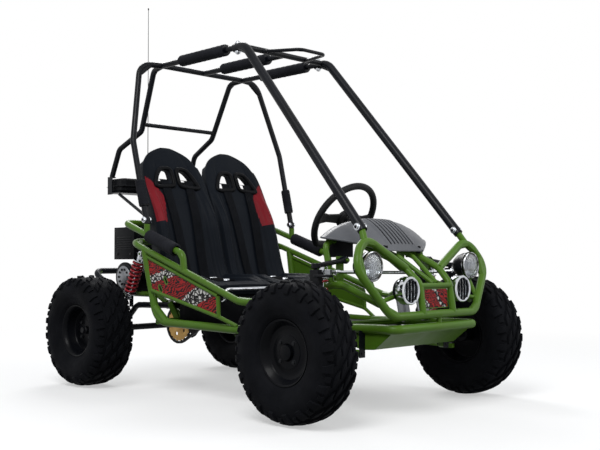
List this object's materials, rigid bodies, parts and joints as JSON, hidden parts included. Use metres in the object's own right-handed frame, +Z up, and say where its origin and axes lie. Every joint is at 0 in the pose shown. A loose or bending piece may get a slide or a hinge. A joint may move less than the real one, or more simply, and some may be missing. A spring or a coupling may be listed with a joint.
{
  "type": "off road go kart",
  "caption": "Two-seat off road go kart with tube frame, roll cage, double-arm front suspension, swing arm rear axle, bucket seats, cowl, lamps and knobby tyres.",
  "frame": {"origin": "on the ground under the middle of the wheelbase, on the centre plane of the wheels", "axes": "+Z up, -Y to the front, +X to the driver's side, which is the vehicle's left"},
  "size_m": [1.001, 1.5857, 1.516],
  "materials": {
    "frame_green": "gloss powder coat",
    "cage_black": "gloss powder coat",
    "pan_black": "satin",
    "tyre_rubber": "matt",
    "rim_black": "gloss",
    "chrome": "polished",
    "steel": "plain",
    "dark_steel": "satin",
    "foam": "matt foam",
    "vinyl": "satin vinyl",
    "webbing": "woven webbing",
    "cowl_grey": "moulded",
    "cover_black": "moulded",
    "grip_black": "satin",
    "spring_red": "gloss",
    "sprocket_bronze": "anodised",
    "plate_red": "satin",
    "lamp_chrome": "polished"
  },
  "bodies": {
    "chassis": {"main_frame": "frame_green", "floor_pan": "pan_black", "roll_cage": "cage_black", "armrest_pad_left": "foam", "armrest_pad_right": "foam", "seat_left": "vinyl", "seat_right": "vinyl", "harness_left": "webbing", "harness_right": "webbing", "cowl": "cowl_grey", "engine": "dark_steel", "engine_cover": "cover_black", "fuel_tank": "cover_black", "antenna": "dark_steel", "front_plate": "plate_red", "headlamp_left": "lamp_chrome", "headlamp_right": "lamp_chrome", "fog_lamp_left": "cage_black", "fog_lamp_right": "cage_black"},
    "steering": {"steering_wheel": "grip_black", "steering_column": "dark_steel"},
    "lower_arm_left": {"lower_arm_left": "frame_green"},
    "upper_arm_left": {"upper_arm_left": "cage_black"},
    "ball_joint_left": {"ball_joint_left": "steel"},
    "knuckle_left": {"knuckle_left": "dark_steel"},
    "tie_rod_end_left": {"tie_rod_end_left": "steel"},
    "tie_rod_left": {"tie_rod_left": "chrome"},
    "front_wheel_left": {"front_rim_left": "rim_black", "front_tyre_left": "tyre_rubber"},
    "front_shock_left": {"front_shock_left": "chrome", "front_spring_left": "spring_red"},
    "front_shock_rod_left": {"front_shock_rod_left": "chrome"},
    "lower_arm_right": {"lower_arm_right": "frame_green"},
    "upper_arm_right": {"upper_arm_right": "cage_black"},
    "ball_joint_right": {"ball_joint_right": "steel"},
    "knuckle_right": {"knuckle_right": "dark_steel"},
    "tie_rod_end_right": {"tie_rod_end_right": "steel"},
    "tie_rod_right": {"tie_rod_right": "chrome"},
    "front_wheel_right": {"front_rim_right": "rim_black", "front_tyre_right": "tyre_rubber"},
    "front_shock_right": {"front_shock_right": "chrome", "front_spring_right": "spring_red"},
    "front_shock_rod_right": {"front_shock_rod_right": "chrome"},
    "swing_arm": {"swing_arm": "cage_black", "chain": "dark_steel"},
    "axle": {"rear_axle": "steel", "rear_rim_left": "rim_black", "rear_rim_right": "rim_black", "rear_tyre_left": "tyre_rubber", "rear_tyre_right": "tyre_rubber", "sprocket": "sprocket_bronze"},
    "jackshaft": {"jackshaft": "steel"},
    "rear_shock_left": {"rear_shock_left": "chrome", "rear_spring_left": "spring_red"},
    "rear_shock_right": {"rear_shock_right": "chrome", "rear_spring_right": "spring_red"},
    "rear_shock_rod_left": {"rear_shock_rod_left": "chrome"},
    "rear_shock_rod_right": {"rear_shock_rod_right": "chrome"},
    "throttle": {"throttle_pedal": "steel"},
    "brake": {"brake_pedal": "steel"}
  },
  "joints": [
    {"name": "steering_turn", "type": "hinge", "parent": "chassis", "child": "steering", "pos_m": [0.139, -0.265, 0.623], "axis": [0, 0.8342, 0.5514], "range_deg": [-40, 40]},
    {"name": "lower_arm_left_swing", "type": "hinge", "parent": "chassis", "child": "lower_arm_left", "pos_m": [0.214, -0.5805, 0.193], "axis": [0, -1, 0], "range_deg": [-9, 7], "stiffness_Nm_per_rad": 420, "springref_deg": -5.16, "deforming": ["front_spring_left"]},
    {"name": "upper_arm_left_swing", "type": "hinge", "parent": "chassis", "child": "upper_arm_left", "pos_m": [0.214, -0.5805, 0.475], "axis": [0, -1, 0], "range_deg": [-9, 7]},
    {"name": "ball_joint_left_swing", "type": "hinge", "parent": "lower_arm_left", "child": "ball_joint_left", "pos_m": [0.34, -0.5805, 0.176], "axis": [0, -1, 0], "range_deg": [-7, 9]},
    {"name": "knuckle_left_turn", "type": "hinge", "parent": "ball_joint_left", "child": "knuckle_left", "pos_m": [0.34, -0.5805, 0.3], "axis": [0, 0, 1], "range_deg": [-20, 20]},
    {"name": "tie_rod_end_left_turn", "type": "hinge", "parent": "knuckle_left", "child": "tie_rod_end_left", "pos_m": [0.34, -0.631, 0.4398], "axis": [0, 0, 1], "range_deg": [-20, 20]},
    {"name": "tie_rod_left_tilt", "type": "hinge", "parent": "tie_rod_end_left", "child": "tie_rod_left", "pos_m": [0.34, -0.631, 0.4398], "axis": [0, -1, 0], "range_deg": [-9, 9]},
    {"name": "front_wheel_left_spin", "type": "hinge", "parent": "knuckle_left", "child": "front_wheel_left", "pos_m": [0.4315, -0.5805, 0.21], "axis": [1, 0, 0], "continuous": true},
    {"name": "front_shock_left_swing", "type": "hinge", "parent": "chassis", "child": "front_shock_left", "pos_m": [0.272, -0.547, 0.449], "axis": [0, -1, 0], "range_deg": [-2, 2]},
    {"name": "front_shock_rod_left_swing", "type": "hinge", "parent": "lower_arm_left", "child": "front_shock_rod_left", "pos_m": [0.296, -0.547, 0.206], "axis": [0, -1, 0], "range_deg": [-8, 10]},
    {"name": "lower_arm_right_swing", "type": "hinge", "parent": "chassis", "child": "lower_arm_right", "pos_m": [-0.214, -0.5805, 0.193], "axis": [0, 1, 0], "range_deg": [-9, 7], "stiffness_Nm_per_rad": 420, "springref_deg": -5.16, "deforming": ["front_spring_right"]},
    {"name": "upper_arm_right_swing", "type": "hinge", "parent": "chassis", "child": "upper_arm_right", "pos_m": [-0.214, -0.5805, 0.475], "axis": [0, 1, 0], "range_deg": [-9, 7]},
    {"name": "ball_joint_right_swing", "type": "hinge", "parent": "lower_arm_right", "child": "ball_joint_right", "pos_m": [-0.34, -0.5805, 0.176], "axis": [0, 1, 0], "range_deg": [-7, 9]},
    {"name": "knuckle_right_turn", "type": "hinge", "parent": "ball_joint_right", "child": "knuckle_right", "pos_m": [-0.34, -0.5805, 0.3], "axis": [0, 0, 1], "range_deg": [-20, 20]},
    {"name": "tie_rod_end_right_turn", "type": "hinge", "parent": "knuckle_right", "child": "tie_rod_end_right", "pos_m": [-0.34, -0.631, 0.4398], "axis": [0, 0, 1], "range_deg": [-20, 20]},
    {"name": "tie_rod_right_tilt", "type": "hinge", "parent": "tie_rod_end_right", "child": "tie_rod_right", "pos_m": [-0.34, -0.631, 0.4398], "axis": [0, 1, 0], "range_deg": [-9, 9]},
    {"name": "front_wheel_right_spin", "type": "hinge", "parent": "knuckle_right", "child": "front_wheel_right", "pos_m": [-0.4315, -0.5805, 0.21], "axis": [1, 0, 0], "continuous": true},
    {"name": "front_shock_right_swing", "type": "hinge", "parent": "chassis", "child": "front_shock_right", "pos_m": [-0.272, -0.547, 0.449], "axis": [0, 1, 0], "range_deg": [-2, 2]},
    {"name": "front_shock_rod_right_swing", "type": "hinge", "parent": "lower_arm_right", "child": "front_shock_rod_right", "pos_m": [-0.296, -0.547, 0.206], "axis": [0, 1, 0], "range_deg": [-8, 10]},
    {"name": "swing_arm_swing", "type": "hinge", "parent": "chassis", "child": "swing_arm", "pos_m": [0, 0.232, 0.31], "axis": [1, 0, 0], "range_deg": [-4, 4], "stiffness_Nm_per_rad": 4200, "springref_deg": -3.44, "deforming": ["rear_spring_left", "rear_spring_right"]},
    {"name": "axle_spin", "type": "hinge", "parent": "swing_arm", "child": "axle", "pos_m": [0, 0.5805, 0.21], "axis": [1, 0, 0], "continuous": true},
    {"name": "jackshaft_spin", "type": "hinge", "parent": "chassis", "child": "jackshaft", "pos_m": [0, 0.3, 0.311], "axis": [1, 0, 0], "continuous": true},
    {"name": "rear_shock_left_swing", "type": "hinge", "parent": "chassis", "child": "rear_shock_left", "pos_m": [0.255, 0.424, 0.5], "axis": [1, 0, 0], "range_deg": [-3, 3]},
    {"name": "rear_shock_rod_left_swing", "type": "hinge", "parent": "swing_arm", "child": "rear_shock_rod_left", "pos_m": [0.255, 0.508, 0.333], "axis": [1, 0, 0], "range_deg": [-3, 3]},
    {"name": "rear_shock_right_swing", "type": "hinge", "parent": "chassis", "child": "rear_shock_right", "pos_m": [-0.255, 0.424, 0.5], "axis": [1, 0, 0], "range_deg": [-3, 3]},
    {"name": "rear_shock_rod_right_swing", "type": "hinge", "parent": "swing_arm", "child": "rear_shock_rod_right", "pos_m": [-0.255, 0.508, 0.333], "axis": [1, 0, 0], "range_deg": [-3, 3]},
    {"name": "throttle_press", "type": "hinge", "parent": "chassis", "child": "throttle", "pos_m": [0.166, -0.6, 0.283], "axis": [1, 0, 0], "range_deg": [0, 25], "stiffness_Nm_per_rad": 4, "springref_deg": -14.32},
    {"name": "brake_press", "type": "hinge", "parent": "chassis", "child": "brake", "pos_m": [0.062, -0.6, 0.283], "axis": [1, 0, 0], "range_deg": [0, 25], "stiffness_Nm_per_rad": 4, "springref_deg": -14.32}
  ],
  "couplings": [
    {"joint": "upper_arm_left_swing", "follows": "lower_arm_left_swing", "ratio": 1},
    {"joint": "ball_joint_left_swing", "follows": "lower_arm_left_swing", "ratio": -1},
    {"joint": "knuckle_left_turn", "follows": "steering_turn", "ratio": 0.5},
    {"joint": "tie_rod_end_left_turn", "follows": "steering_turn", "ratio": -0.5},
    {"joint": "tie_rod_left_tilt", "follows": "lower_arm_left_swing", "ratio": 0.6811},
    {"joint": "front_shock_left_swing", "follows": "lower_arm_left_swing", "ratio": -0.02},
    {"joint": "front_shock_rod_left_swing", "follows": "lower_arm_left_swing", "ratio": -1.02},
    {"joint": "upper_arm_right_swing", "follows": "lower_arm_right_swing", "ratio": 1},
    {"joint": "ball_joint_right_swing", "follows": "lower_arm_right_swing", "ratio": -1},
    {"joint": "knuckle_right_turn", "follows": "steering_turn", "ratio": 0.5},
    {"joint": "tie_rod_end_right_turn", "follows": "steering_turn", "ratio": -0.5},
    {"joint": "tie_rod_right_tilt", "follows": "lower_arm_right_swing", "ratio": 0.2721},
    {"joint": "front_shock_right_swing", "follows": "lower_arm_right_swing", "ratio": -0.02},
    {"joint": "front_shock_rod_right_swing", "follows": "lower_arm_right_swing", "ratio": -1.02},
    {"joint": "jackshaft_spin", "follows": "axle_spin", "ratio": 2.8571},
    {"joint": "rear_shock_left_swing", "follows": "swing_arm_swing", "ratio": 0.5535},
    {"joint": "rear_shock_rod_left_swing", "follows": "swing_arm_swing", "ratio": -0.4465},
    {"joint": "rear_shock_right_swing", "follows": "swing_arm_swing", "ratio": 0.5535},
    {"joint": "rear_shock_rod_right_swing", "follows": "swing_arm_swing", "ratio": -0.4465}
  ]
}
